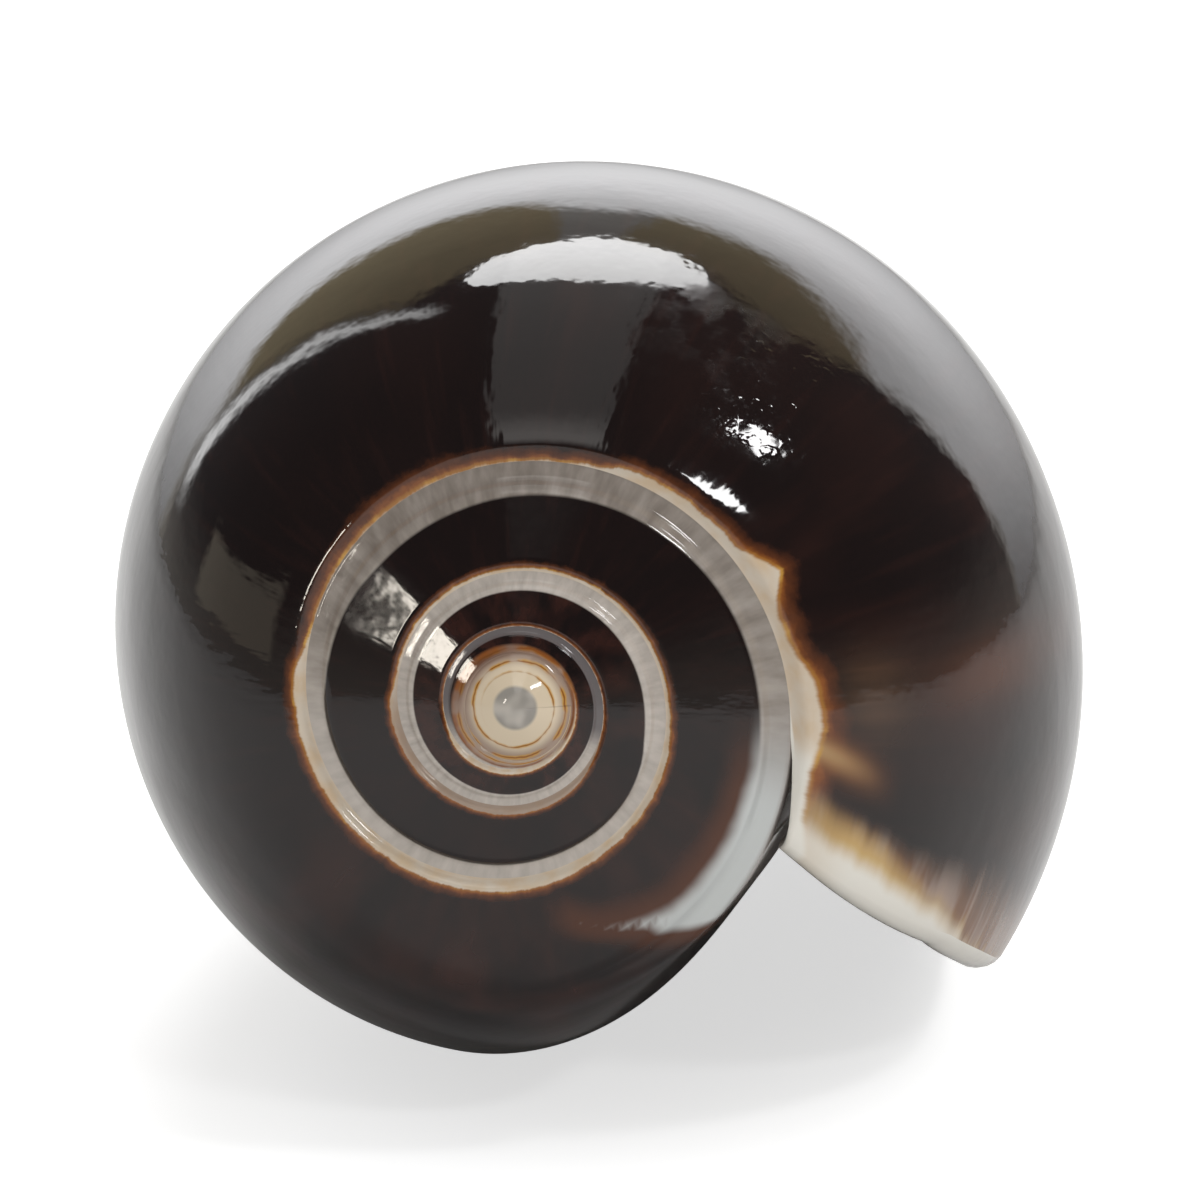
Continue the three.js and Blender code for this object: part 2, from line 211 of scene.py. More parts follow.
def lip_turn(station):
    """The turn at which the lip stands: a slant with depth, less a lag that dies out away from the
    suture, less the swing round the notch to the tip of the pillar."""
    station = np.asarray(station, float)
    notch_start = 4 + NOTCH_START / 90
    swing = NOTCH_SWEEP * ease((station - notch_start) / (FRONT_JOIN - notch_start))
    radius = mix(suture_radius(0), suture_radius(1), np.minimum(station, 3) / 3)
    lag = LIP_LAG * np.exp((suture_radius(0) - radius) / LIP_LAG_FALL)
    front = FRONT_LENGTH * np.sin(np.radians(90 * np.maximum(0, station - 4)))
    back = (top_depth(0, radius) - WIDEST_DEPTH) * (1 - np.clip(station - 3, 0, 1))
    return LIP_SLANT * np.where(station > 4, front, back) - lag - swing


def mouth_turn(station):
    """One turn behind the lip, eased at both ends to where the wall is grown on to the older turn."""
    back = lip_turn(0) - lip_turn(BACK_JOIN)
    front = lip_turn(5) - lip_turn(FRONT_JOIN)
    near_back = 1 - ease((station - BACK_JOIN) / 0.5)
    near_front = ease((station - 4.5) / (FRONT_JOIN - 4.5))
    return lip_turn(station) - 1 + back * near_back + front * near_front


def moved_in(g, station):
    """The profile's point moved at right angles to it by the wall's thickness, which is less where
    the hollow is narrow."""
    small = 1e-3
    r0, d0 = profile(g, np.maximum(0, station - small))
    r1, d1 = profile(g, np.minimum(5, station + small))
    length = np.hypot(r1 - r0, d1 - d0)
    radius, depth = profile(g, station)
    angle = front_angle(g, np.maximum(4, station))
    gap = front_radius(g, angle) - front_radius(g - 1, angle)
    thick = WALL * np.tanh(0.55 * gap / WALL)
    return radius - thick * (d1 - d0) / length, depth + thick * (r1 - r0) / length


def inner_profile(g, station):
    """The moved-in profile, led at both ends to where it meets the older turn."""
    g, station = np.broadcast_arrays(np.asarray(g, float), np.asarray(station, float))
    radius, depth = moved_in(g, station)
    edge_r, edge_d = moved_in(g, np.zeros_like(station))
    back_r, back_d = profile(g - 1, BACK_JOIN)
    front_r, front_d = profile(g - 1, FRONT_JOIN)
    near_back = 1 - ease(station / 2)
    near_front = ease((station - 4.8) / 0.2)
    radius = mix(radius + (back_r - edge_r) * near_back, front_r, near_front)
    return radius, mix(depth + (back_d - edge_d) * near_back, front_d, near_front)


def place(g, point):
    """A point of the profile turned about the axis by the lip's angle less a full circle a turn. The
    spire lies a little off the axis: further to the left with the radius, and lower by a fixed
    step, both of which die out with depth."""
    radius, depth = point
    angle = np.radians(LIP_ANGLE) - 2 * np.pi * g
    near = 1 - ease((depth - 1.5) / 7.5)
    x = radius * np.cos(angle) - SPIRE_LEAN * np.minimum(radius, SUTURE_RADIUS) * near
    y = radius * np.sin(angle) - SPIRE_DROP * near
    return np.stack([x, y, -depth + 0 * angle], -1)


print("length below the apex:", round(float(profile(0, 5)[1]), 1), "mm")

# %% [markdown]
# ## Rows and columns
#
# The surface is laid out in grids. A column is a growth line, and a row runs along with growth. The
# rows are close together where the profile turns quickly: in the channel, on the folds and round the
# notch. Where the wall is grown on to the older turn, both grids use the same vertices, so there is
# no seam.

# %% Rows: the stations, close together where the shape is fine
TURN_STEPS, MOUTH_STEPS, LIP_STEPS, BULB_RINGS = 224, 64, 10, 14
RIM_ROWS, TOP_ROWS, CHANNEL_ROWS = 6, 12, 9


def spread(start, end, rows):
    """Even stations from start to just before end."""
    return np.linspace(start, end, rows, endpoint=False)


lip_bend = (1 - np.cos(np.pi * np.arange(LIP_STEPS) / LIP_STEPS)) / 2
STATIONS = np.concatenate(
    [
        spread(0, 1, RIM_ROWS),
        spread(1, 2, TOP_ROWS),
        spread(2, 3, CHANNEL_ROWS),
        mix(3, BACK_JOIN, lip_bend),
        spread(BACK_JOIN, 4, 20),
        spread(4, 4.13, 3),
        spread(4.13, 4.73, 64),
        spread(4.73, FRONT_JOIN, 18),
        spread(FRONT_JOIN, 5, LIP_STEPS),
        [5.0],
    ]
)
LAST = len(STATIONS) - 1
CHANNEL_ROW = RIM_ROWS + TOP_ROWS + CHANNEL_ROWS
BACK_ROW = CHANNEL_ROW + LIP_STEPS
FRONT_ROW = LAST - LIP_STEPS
print("rows:", LAST + 1)


# %% Grids: each holds vertex numbers, and what a spot's colour depends on
vertices = []
patches = []


def add(points):
    """Keeps an array of points and gives back their vertex numbers in the same layout."""
    start = sum(len(block) for block in vertices)
    vertices.append(points.reshape(-1, 3))
    return start + np.arange(points[..., 0].size).reshape(points.shape[:-1])


def spire_grid():
    """Place of the profile, from turn to turn, whose row 0 is the row at station 3 one turn before.
    The strip starts narrow and reaches its full width within its first turn."""
    end = float(lip_turn(0)) - 1
    count = round((end - SPIRE_START) * TURN_STEPS)
    step = np.arange(count + 1)
    g = (end - (count - step) / TURN_STEPS)[:, None]
    station = STATIONS[None, : CHANNEL_ROW + 1]
    width = mix(0.12, 1, ease(step / (0.6 * TURN_STEPS)))[:, None]
    radius, depth = profile(g, station)
    outer_radius, outer_depth = profile(g, 3 + 0 * g)
    point = (mix(outer_radius, radius, width), mix(outer_depth, depth, width))
    number = np.empty((count + 1, CHANNEL_ROW + 1), int)
    number[:, 1:] = add(place(g, point)[:, 1:])
    number[:TURN_STEPS, 0] = add(place(g, point)[:TURN_STEPS, 0])
    number[TURN_STEPS:, 0] = number[:-TURN_STEPS, CHANNEL_ROW]
    return number, g + 0 * station, station + 0 * g


def outer_grid(spire, tip):
    """The outer face of the last turn, even steps from where each row leaves the mouth to the lip."""
    share = (np.arange(1, TURN_STEPS + 1) / TURN_STEPS)[:, None]
    start = np.full(LAST + 1, float(lip_turn(0)) - 1)
    start[BACK_ROW + 1 :] = mouth_turn(np.minimum(STATIONS[BACK_ROW + 1 :], FRONT_JOIN))
    g = mix(start, lip_turn(STATIONS), share)
    station = STATIONS + 0 * g
    number = np.empty(g.shape, int)
    number[:, 1:LAST] = add(place(g, profile(g, station))[:, 1:LAST])
    number[:, 0] = spire[len(spire) - TURN_STEPS :, CHANNEL_ROW]
    number[:, LAST] = tip
    return number, g, station


def pillar_grid():
    """The older turn's face inside the mouth, from the mouth's edge to the end of the hollow."""
    share = (np.arange(MOUTH_STEPS + 1) / MOUTH_STEPS)[:, None]
    station = STATIONS[BACK_ROW : FRONT_ROW + 1] + 0 * share
    g = mix(mouth_turn(station), MOUTH_END - 1, share)
    return add(place(g, profile(g, station))), g, station


def inner_grid(pillar):
    """The inner face of the last turn, which shares its two edges with the older turn's face."""
    share = (np.arange(MOUTH_STEPS + 1) / MOUTH_STEPS)[:, None]
    station = STATIONS + 0 * share
    g = mix(lip_turn(station), MOUTH_END, share)
    number = np.empty(g.shape, int)
    number[:, 1:LAST] = add(place(g, inner_profile(g, station))[:, 1:LAST])
    number[:, 0], number[:, LAST] = pillar[:, 0], pillar[:, -1]
    return number, g, station


def lip_grid(outer, inner, tip):
    """Half a circle from the outer edge to the inner one. It bulges at right angles to the edge and
    to the wall, and at the suture it is led on to the older turn's face."""
    at = np.concatenate(vertices)
    start, end = at[np.append(outer[:-1], tip)], at[inner]
    along = np.gradient(start, axis=0)
    half = (start - end) / 2
    ahead = np.cross(along, half)
    ahead /= np.maximum(np.linalg.norm(ahead, axis=1, keepdims=True), 1e-9)
    onward = np.stack([start[:, 1], -start[:, 0], 0 * start[:, 0]], 1)
    onward /= np.maximum(np.linalg.norm(onward, axis=1, keepdims=True), 1e-9)
    near_end = (1 - ease(STATIONS / 1.2))[:, None]
    ahead = mix(ahead, onward, near_end)
    ahead /= np.maximum(np.linalg.norm(ahead, axis=1, keepdims=True), 1e-9)
    turn = np.pi * np.arange(1, LIP_STEPS) / LIP_STEPS
    size = np.linalg.norm(half, axis=1)[:, None, None]
    fullness = mix(LIP_ROUND, 1, ease(STATIONS / LIP_ROUND_END))[:, None, None]
    bulge = ahead[:, None] * fullness * size * np.sin(turn)[None, :, None]
    points = ((start + end) / 2)[:, None] + half[:, None] * np.cos(turn)[None, :, None] + bulge
    g = float(lip_turn(0)) - 1 + WALL / 2 / (2 * np.pi * SUTURE_RADIUS) * np.sin(turn)
    wanted = place(g, profile(g, mix(3, BACK_JOIN, (1 - np.cos(turn)) / 2)))
    points = points + (wanted - points[0])[None] * near_end[:, None]
    number = np.empty((LAST + 1, LIP_STEPS + 1), int)
    number[:, 0], number[:, -1] = np.append(outer[:-1], tip), inner
    number[:, 1:-1] = add(points)
    return number


tip = int(add(place(0.0, profile(-1.0, 5.0))[None])[0])
spire, spire_g, spire_s = spire_grid()
outer, outer_g, outer_s = outer_grid(spire, tip)
pillar, pillar_g, pillar_s = pillar_grid()
inner, inner_g, inner_s = inner_grid(pillar)
lip = lip_grid(outer[-1], inner[0], tip)
first = np.concatenate([spire[-1], lip[0, 1:-1], pillar[0], lip[LAST, -2::-1]])
print("first column:", len(first), "rows:", LAST + 1)

# %% [markdown]
# ## Weaving the grids together
#
# Two neighbouring columns make a strip of triangles. Every corner of a triangle also carries numbers
# for the colour: the turn and station it was laid down at, how far it lies from the two sutures,
# the lip, the mouth's edge and the raised band. They are kept by corner and not by vertex, because
# a vertex in a suture belongs to two turns at once.


# %% Strips of triangles, and the numbers for the colour
GLAZE_STATIONS = [1.45, 1.6, 1.75, 1.9, 2.2, 2.5, 2.8, 3.3]
GLAZE_TURNS = [-0.893, -0.905, -0.92, -0.936, -0.943, -0.95, -0.958, -0.975]
GLAZE_INNER_TURNS = [-0.97, -0.95, -0.93, -0.915, -0.905, -0.893]
GLAZE_INNER_STATIONS = [1.9, 1.85, 1.75, 1.68, 1.6, 1.48]


def weave(number, facts):
    """Two triangles for each cell of a grid of vertex numbers, with the facts of their corners."""
    flat = np.arange(number.size).reshape(number.shape)
    a, b, d, e = flat[:-1, :-1], flat[:-1, 1:], flat[1:, :-1], flat[1:, 1:]
    corners = np.stack([a, e, b, a, d, e], -1).reshape(-1, 3)
    patches.append((number.reshape(-1)[corners], facts.reshape(-1, 12)[corners]))


def segment_distance(points, path):
    """The least distance from each point to a chain of straight pieces: each point is projected on
    to each piece and held between its ends."""
    best = np.full(points.shape[:-1], 99.0)
    for start, end in zip(path[:-1], path[1:]):
        way = end - start
        share = np.clip(((points - start) @ way) / max(way @ way, 1e-12), 0, 1)
        best = np.minimum(best, np.linalg.norm(points - start - share[..., None] * way, axis=-1))
    return best


def glaze_field(g, station, radius):
    """How far a spot lies within the white glaze ahead of the suture, in mm: the lesser of the way
    back from the glaze's front edge and the way out from its inner edge, both smooth curves."""
    front_edge = np.interp(station, GLAZE_STATIONS, GLAZE_TURNS)
    inner_edge = np.interp(g, GLAZE_INNER_TURNS, GLAZE_INNER_STATIONS)
    ahead = (front_edge - g) * 2 * np.pi * np.maximum(radius, 1)
    return np.where(station > 3.6, -9, np.minimum(ahead, (station - inner_edge) * 2.6))


def facts_of(g, station, inside, lip_distance, mouth_distance):
    """Twelve numbers a corner: growth line, station, inside; the distances from its own and the next
    suture as shares of their radii, and the glaze; lip, mouth and radius in mm; the angle past the
    raised band's edge, the turn and the depth. The growth line is the turn less the lip's swing at
    the front, so it runs alongside the lip."""
    radius, depth = profile(g, station)
    own = radius / suture_radius(g) - 1
    following = 1 - radius / suture_radius(g + 1)
    line = g - lip_turn(np.maximum(station, 4)) + lip_turn(4)
    glaze = glaze_field(g, station, radius)
    shape = np.broadcast(g, station, lip_distance, mouth_distance).shape
    past_band = front_angle(g, np.maximum(station, 4)) - band_edge(g)
    parts = [line, station, inside, own, following, glaze, lip_distance, mouth_distance, radius]
    parts += [past_band, g, depth]
    return np.stack([np.broadcast_to(part, shape) for part in parts], -1)


at = np.concatenate(vertices)
rim_line = at[lip[:, LIP_STEPS // 2]]
around = 2 * np.pi * np.maximum(profile(outer_g, outer_s)[0], 1.0)
outer_mouth = (outer_g - mouth_turn(np.clip(outer_s, BACK_JOIN, FRONT_JOIN))) * around
behind_lip = (lip_turn(outer_s) - outer_g) * around
outer_lip = mix(behind_lip, segment_distance(at[outer], rim_line), ease((outer_s - 1.3) / 1.2))
outer_lip = np.where(lip_turn(outer_s) - outer_g > 0.45, 99, outer_lip)
inner_lip = segment_distance(at[inner], rim_line)
pillar_around = 2 * np.pi * np.maximum(profile(pillar_g, pillar_s)[0], 1.0)
pillar_mouth = (pillar_g - mouth_turn(pillar_s)) * pillar_around

weave(spire, facts_of(spire_g, spire_s, 0, 99, 99))
first_facts = facts_of(outer_g[:1] - 1 / TURN_STEPS, outer_s[:1], 0, 99, 0)
outer_facts = np.concatenate([first_facts, facts_of(outer_g, outer_s, 0, outer_lip, outer_mouth)])
weave(np.concatenate([first[None], outer]), outer_facts)
across = np.linspace(0, 1, LIP_STEPS + 1)[:, None]
lip_g = lip_turn(STATIONS)[None, :] + 0 * across
weave(lip.T, facts_of(lip_g, STATIONS + 0 * across, across, 0, 99))
weave(inner, facts_of(inner_g, inner_s, 1, inner_lip, 99))
weave(pillar[::-1], facts_of(pillar_g, pillar_s, 1, 99, pillar_mouth)[::-1])


def close_hollow(upper, lower):
    """Joins two edges of different counts: steps along either edge are taken in order of the share
    of the way they reach, and each step makes one triangle."""
    upper_share = np.arange(1, len(upper)) / (len(upper) - 1)
    lower_share = np.arange(1, len(lower)) / (len(lower) - 1)
    is_lower = np.concatenate([np.zeros(len(upper) - 1, int), np.ones(len(lower) - 1, int)])
    order = np.lexsort((is_lower, np.concatenate([upper_share, lower_share])))
    is_lower = is_lower[order]
    j = np.cumsum(is_lower) - is_lower
    i = np.cumsum(1 - is_lower) - (1 - is_lower)
    next_lower = lower[np.minimum(j + 1, len(lower) - 1)]
    next_upper = upper[np.minimum(i + 1, len(upper) - 1)]
    last = np.where(is_lower == 1, next_lower, next_upper)
    faces = np.stack([upper[i], lower[j], last], 1)
    facts = np.zeros((len(faces), 3, 12))
    facts[..., :3] = MOUTH_END, 4, 1
    facts[..., 6:10] = 99, -99, 5, -9
    patches.append((faces, facts))


def close_apex():
    """Rings from the first turn's inner edge to the top. The way in is straight seen from above,
    and the height follows a quarter of a sine wave, so the top is round."""
    edge = np.concatenate([spire[:TURN_STEPS, 0], spire[0, :0:-1]])
    start = at[edge]
    top_point = np.array([0, -SPIRE_DROP, BULB_HEIGHT])
    share = np.linspace(0, 1, BULB_RINGS + 1)[:, None]
    rings = mix(start[None], top_point, share[..., None])
    rings[..., 2] = mix(start[:, 2], BULB_HEIGHT, np.sin(share * np.pi / 2))
    number = np.empty((BULB_RINGS, len(edge)), int)
    number[0] = edge
    number[1:] = add(rings[1:-1])
    top = int(add(top_point[None])[0])
    radius = np.linalg.norm(rings[:-1, :, :2] - top_point[:2], axis=-1)
    facts = np.zeros(number.shape + (12,))
    facts[..., 0], facts[..., 6], facts[..., 7] = SPIRE_START, 99, 99
    facts[..., 3], facts[..., 4], facts[..., 8], facts[..., 9] = -1, 1, radius, -99
    closed = np.concatenate([number, number[:, :1]], 1)
    weave(closed, np.concatenate([facts, facts[:, :1]], 1))
    ring, following = number[-1], np.roll(number[-1], -1)
    faces = np.stack([np.full(len(ring), top), following, ring], 1)
    tip_facts = np.repeat(facts[-1][:, None], 3, 1)
    tip_facts[:, 0, 8] = 0
    patches.append((faces, tip_facts))


close_hollow(inner[-1], pillar[-1])
close_apex()
faces = np.concatenate([block for block, _ in patches])
facts = np.concatenate([block for _, block in patches])
whole = (faces[:, 0] != faces[:, 1]) & (faces[:, 1] != faces[:, 2]) & (faces[:, 2] != faces[:, 0])
faces, facts = faces[whole], facts[whole]
print("triangles:", len(faces))

# %% [markdown]
# ## Laid on its mouth
#
# The formula grows the shell with its axis upright. The real one lies on its side with the mouth
# down, and touches the ground under the belly and at the lip. The same two turns as in the solid
# model lay it down, and the two spots that touch are worn a few hundredths of a millimetre flat.


# %% Pose, mesh and attributes
def laid(points):
    """A turn about the axis, a turn about the x axis, a shift that centres the box over the origin,
    and no height below the ground."""
    roll, lean = np.radians(ROLL), np.radians(90 - AXIS_TILT)
    x = points[:, 0] * np.cos(roll) - points[:, 1] * np.sin(roll)
    y = points[:, 0] * np.sin(roll) + points[:, 1] * np.cos(roll)
    z = points[:, 2]
    turned = np.stack([x, y * np.cos(lean) - z * np.sin(lean), y * np.sin(lean) + z * np.cos(lean)], 1)
    low, high = turned.min(0), turned.max(0)
    turned -= [(low[0] + high[0]) / 2, (low[1] + high[1]) / 2, low[2] + FLAT_DEPTH]
    turned[:, 2] = np.maximum(turned[:, 2], 0)
    return turned


used, faces = np.unique(faces, return_inverse=True)
faces = faces.reshape(-1, 3)
points = laid(np.concatenate(vertices)[used]) / 1000
mesh = bpy.data.meshes.new("olive_shell")
mesh.vertices.add(len(points))
mesh.vertices.foreach_set("co", points.ravel())
mesh.loops.add(faces.size)
mesh.loops.foreach_set("vertex_index", faces.ravel())
mesh.polygons.add(len(faces))
mesh.polygons.foreach_set("loop_start", np.arange(0, faces.size, 3))
mesh.polygons.foreach_set("use_smooth", np.ones(len(faces), bool))
for name, first_column in (("growth", 0), ("bands", 3), ("edges", 6), ("front", 9)):
    layer = mesh.attributes.new(name, "FLOAT_VECTOR", "CORNER")
    columns = facts[..., first_column : first_column + 3]
    layer.data.foreach_set("vector", columns.astype(np.float32).ravel())
mesh.update(calc_edges=True)
mesh.validate()
shell = bpy.data.objects.new("olive_shell", mesh)
bpy.context.collection.objects.link(shell)
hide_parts("shell")
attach(shell, "root")
corner = np.array([point[:] for point in (points.min(0) * 1000, points.max(0) * 1000)])
print("box in mm:", np.round(corner, 2).tolist())

# %% [markdown]
# ## The finish, from the growth line
#
# The colour of a shell is laid down with the wall, so it follows the growth: bands along the suture,
# streaks along the growth lines, a pale lip and white glaze inside. It could be painted by hand, but
# the numbers kept at the corners already say where each spot lies in the growth, and a few curves and
# noises of them give the same bands, at any distance. The helpers below each place one kind of node.

# %% Helpers: each places one kind of node and gives back its output
finish = bpy.data.materials.new("shell_finish")
finish.use_nodes = True
mesh.materials.append(finish)
tree = finish.node_tree
shader = tree.nodes["Principled BSDF"]


def feed(socket, source):
    """Joins a node's output to an input, or sets the input when the source is a plain value."""
    if isinstance(source, bpy.types.NodeSocket):
        tree.links.new(source, socket)
    else:
        socket.default_value = source


def work(operation, *sources, clamp=False):
    """One math node."""
    made = tree.nodes.new("ShaderNodeMath")
    made.operation, made.use_clamp = operation, clamp
    for socket, source in zip(made.inputs, sources):
        feed(socket, source)
    return made.outputs[0]


def times(first, second):
    """The product of two values."""
    return work("MULTIPLY", first, second)


def plus(first, second):
    """The sum of two values."""
    return work("ADD", first, second)


def minus(first, second):
    """The first value less the second."""
    return work("SUBTRACT", first, second)


def rise(source, low, high):
    """0 below low, 1 above high and a smooth step between. With low above high it falls instead."""
    made = tree.nodes.new("ShaderNodeMapRange")
    made.interpolation_type = "SMOOTHSTEP"
    feed(made.inputs["Value"], source)
    feed(made.inputs["From Min"], low)
    feed(made.inputs["From Max"], high)
    return made.outputs["Result"]


def span(source, start, full, fading, end):
    """0 up to start, 1 from full to fading, 0 past end, and a smooth step on each side."""
    return times(rise(source, start, full), rise(source, end, fading))


def bell(source, centre, width):
    """A bell curve: e to the power of less the square of the distance from the centre over width."""
    off = work("DIVIDE", minus(source, centre), width)
    return work("EXPONENT", times(times(off, off), -1.0))


def curve(source, points):
    """A smooth curve of a value through points, and level beyond the first and the last."""
    low, high = points[0][0], points[-1][0]
    made = tree.nodes.new("ShaderNodeFloatCurve")
    feed(made.inputs["Value"], work("DIVIDE", minus(source, low), high - low, clamp=True))
    line = made.mapping.curves[0]
    while len(line.points) < len(points):
        line.points.new(0.5, 0.5)
    for point, (x, y) in zip(line.points, points):
        point.location = ((x - low) / (high - low), y)
        point.handle_type = "AUTO_CLAMPED"
    made.mapping.update()
    return made.outputs[0]


def vector(x, y, z):
    """Three numbers joined to a vector."""
    made = tree.nodes.new("ShaderNodeCombineXYZ")
    for socket, source in zip(made.inputs, (x, y, z)):
        feed(socket, source)
    return made.outputs[0]


def noise(place_at, scale, detail=2.0, roughness=0.5):
    """Smooth noise, about 0.5 on average."""
    made = tree.nodes.new("ShaderNodeTexNoise")
    feed(made.inputs["Vector"], place_at)
    made.inputs["Scale"].default_value = scale
    made.inputs["Detail"].default_value = detail
    made.inputs["Roughness"].default_value = roughness
    return made.outputs["Fac"]


def blend(share, below, above):
    """A colour a share of the way from one to another."""
    made = tree.nodes.new("ShaderNodeMix")
    made.data_type = "RGBA"
    feed(made.inputs["Factor"], share)
    feed(made.inputs[6], below)
    feed(made.inputs[7], above)
    return made.outputs[2]


def numbers(name):
    """The three numbers of a corner attribute."""
    made = tree.nodes.new("ShaderNodeAttribute")
    made.attribute_name = name
    parts = tree.nodes.new("ShaderNodeSeparateXYZ")
    tree.links.new(made.outputs["Vector"], parts.inputs[0])
    return parts.outputs


def grain(waves, across, waves_across, layer, detail=2.0, roughness=0.5):
    """Noise with so many waves a turn along the growth, and so many for each unit of another value."""
    return noise(vector(times(line, waves), times(across, waves_across), layer), 1.0, detail, roughness)


line, station, inside = numbers("growth")
own, following, glaze = numbers("bands")
lip_mm, mouth_mm, radius_mm = numbers("edges")
past_band, turn, depth_mm = numbers("front")
object_place = tree.nodes.new("ShaderNodeTexCoord").outputs["Object"]
print("corner attributes read:", 4)

# %% [markdown]
# ## Nearly black body
#
# The body is a chestnut brown so deep that it looks black, over a redder layer that shows where the
# dark one is thin. Its marks run along the growth lines, so the noise is stretched: many waves a turn
# along the growth, few along the lip.

# %% Body: dark chestnut with reddish streaks along the growth lines
NEARLY_BLACK = (0.0075, 0.0038, 0.0034, 1)
MAROON = (0.04, 0.0135, 0.0095, 1)
RED_BROWN = (0.105, 0.032, 0.011, 1)
streaks = grain(26.0, station, 0.9, 0.0, 3.0)
fine_streaks = grain(150.0, station, 1.3, 3.0)
around_turn = curve(
    line,
    [(-3.1, 1.0), (-2.4, 0.9), (-2.0, 0.4), (-1.3, 0.05), (-1.0, 0.5), (-0.85, 0.75), (-0.7, 0.5)]
    + [(-0.6, 0.05), (-0.35, 0.1), (-0.22, 0.2), (-0.08, 0.45), (0.0, 0.6)],
)
redness = times(around_turn, rise(streaks, 0.35, 0.75))
redness = plus(redness, times(rise(fine_streaks, 0.5, 0.75), 0.16))
body = blend(work("MULTIPLY", redness, 1.0, clamp=True), NEARLY_BLACK, MAROON)

# %% [markdown]
# ## Fringe, cream rim and grey floor
#
# Beside the suture the dark layer thins out: red-brown, then a golden line, then a cream rim, with
# tongues of cream that run out between dark notches. On the other side of the suture the older turn's
# edge sinks into the channel, whose floor is a thin grey glaze. Each limit is a curve of the turn,
# made ragged by noise, and the colours change across it in steps of the distance from the suture.

# %% Limits of the bands, as shares of the suture's radius
ragged = minus(noise(vector(times(line, 75.0), 0.0, 7.0), 1.0, 4.0, 0.7), 0.5)
beads = rise(noise(vector(times(line, 34.0), 0.0, 11.0), 1.0, 3.0, 0.6), 0.5, 0.72)
cream_width = curve(
    line,
    [(-3.1, 0.42), (-2.75, 0.42), (-2.6, 0.03), (-2.1, 0.03), (-2.0, 0.16), (-1.86, 0.45)]
    + [(-1.75, 0.36), (-1.6, 0.34), (-1.56, 0.1), (-1.45, 0.12), (-1.1, 0.14), (-1.03, 0.24)]
    + [(-0.94, 0.26), (-0.85, 0.38), (-0.72, 0.32), (-0.58, 0.28), (-0.54, 0.02), (-0.34, 0.02)]
    + [(-0.29, 0.06), (-0.26, 0.22), (-0.2, 0.22), (-0.183, 0.3), (-0.165, 0.66), (-0.152, 0.2)]
    + [(-0.12, 0.36), (-0.08, 0.6), (-0.064, 0.4), (-0.045, 0.42), (-0.025, 0.66), (0.0, 0.9)],
)
WIDEST_SHARE = 0.2
cream_limit = plus(times(cream_width, WIDEST_SHARE), times(ragged, 0.042))
beyond_cream = minus(own, cream_limit)
floor_width = curve(
    line,
    [(-4.1, 0.5), (-3.4, 0.5), (-3.0, 0.55), (-2.5, 0.7), (-2.1, 0.7), (-2.03, 0.55)]
    + [(-1.93, 0.42), (-1.63, 0.4), (-1.58, 0.5), (-1.5, 0.65), (-1.43, 0.75), (-1.35, 0.7)]
    + [(-1.23, 0.6), (-1.13, 0.55), (-1.0, 0.55)],
)
beyond_floor = minus(following, times(floor_width, WIDEST_SHARE))
print("widest band, as a share of the radius:", WIDEST_SHARE)

# %% Fringe and rim: red-brown, gold and cream, laid over the body
CREAM = (0.63, 0.55, 0.45, 1)
WARM_CREAM = (0.60, 0.46, 0.31, 1)
PINKISH = (0.31, 0.225, 0.175, 1)
GOLD = (0.54, 0.29, 0.055, 1)
ORANGE_BROWN = (0.24, 0.075, 0.016, 1)
TONGUE_TAN = (0.42, 0.27, 0.12, 1)
# The next colour is that of a painted reflection on the body behind the lip.
REFLECTION_BROWN = (0.12, 0.06, 0.03, 1)
TONGUE_LINE = -0.0785  # turns, where a pale tongue leaves the rim
fringe_spread = plus(0.62, times(rise(line, -0.24, -0.1), 0.45))
fringe_spread = plus(fringe_spread, times(bell(line, -0.43, 0.07), 0.5))
beyond = work("DIVIDE", beyond_cream, fringe_spread)
outer_turns = rise(own, -0.9, -0.5)
fringe_mottle = grain(55.0, own, 12.0, 4.0, 3.0, 0.65)
mottled = plus(beyond, times(minus(fringe_mottle, 0.5), 0.09))
red_share = times(rise(mottled, 0.105, 0.028), outer_turns)
# A soft brown patch on the body behind the lip: a painted reflection, laid into the colour.
painted_reflection_patch = times(bell(line, -0.098, 0.018), bell(own, 0.3, 0.12))
painted_reflection_patch = times(painted_reflection_patch, plus(0.2, times(fine_streaks, 0.6)))
body = blend(painted_reflection_patch, body, REFLECTION_BROWN)
# A red-brown flame behind the lip: partly the shell's own streaks, partly a painted reflection.
red_flame_and_reflection = times(bell(plus(line, times(own, 0.02)), -0.088, 0.011), bell(own, 0.72, 0.22))
body = blend(times(red_flame_and_reflection, plus(0.15, times(streaks, 0.7))), body, RED_BROWN)
colour = blend(red_share, body, RED_BROWN)
colour = blend(times(rise(mottled, 0.044, 0.010), outer_turns), colour, ORANGE_BROWN)
leaning = minus(line, times(own, 0.05))
tongue = times(bell(leaning, TONGUE_LINE, 0.0085), rise(own, 0.42, 0.12))
colour = blend(times(tongue, 0.85), colour, ORANGE_BROWN)
tongue = times(bell(leaning, TONGUE_LINE, 0.0055), rise(own, 0.36, 0.1))
colour = blend(times(tongue, 0.8), colour, TONGUE_TAN)
gold_runs = curve(
    line,
    [(-3.1, 0.9), (-2.7, 0.9), (-2.55, 0.2), (-2.05, 0.1), (-1.9, 0.35), (-1.65, 0.25), (-1.5, 0.9)]
    + [(-1.1, 0.8), (-1.0, 0.4), (-0.9, 0.45), (-0.62, 0.6), (-0.55, 1.0), (-0.3, 0.9), (0.0, 1.0)],
)
gold_here = times(gold_runs, rise(beads, -0.4, 0.6))
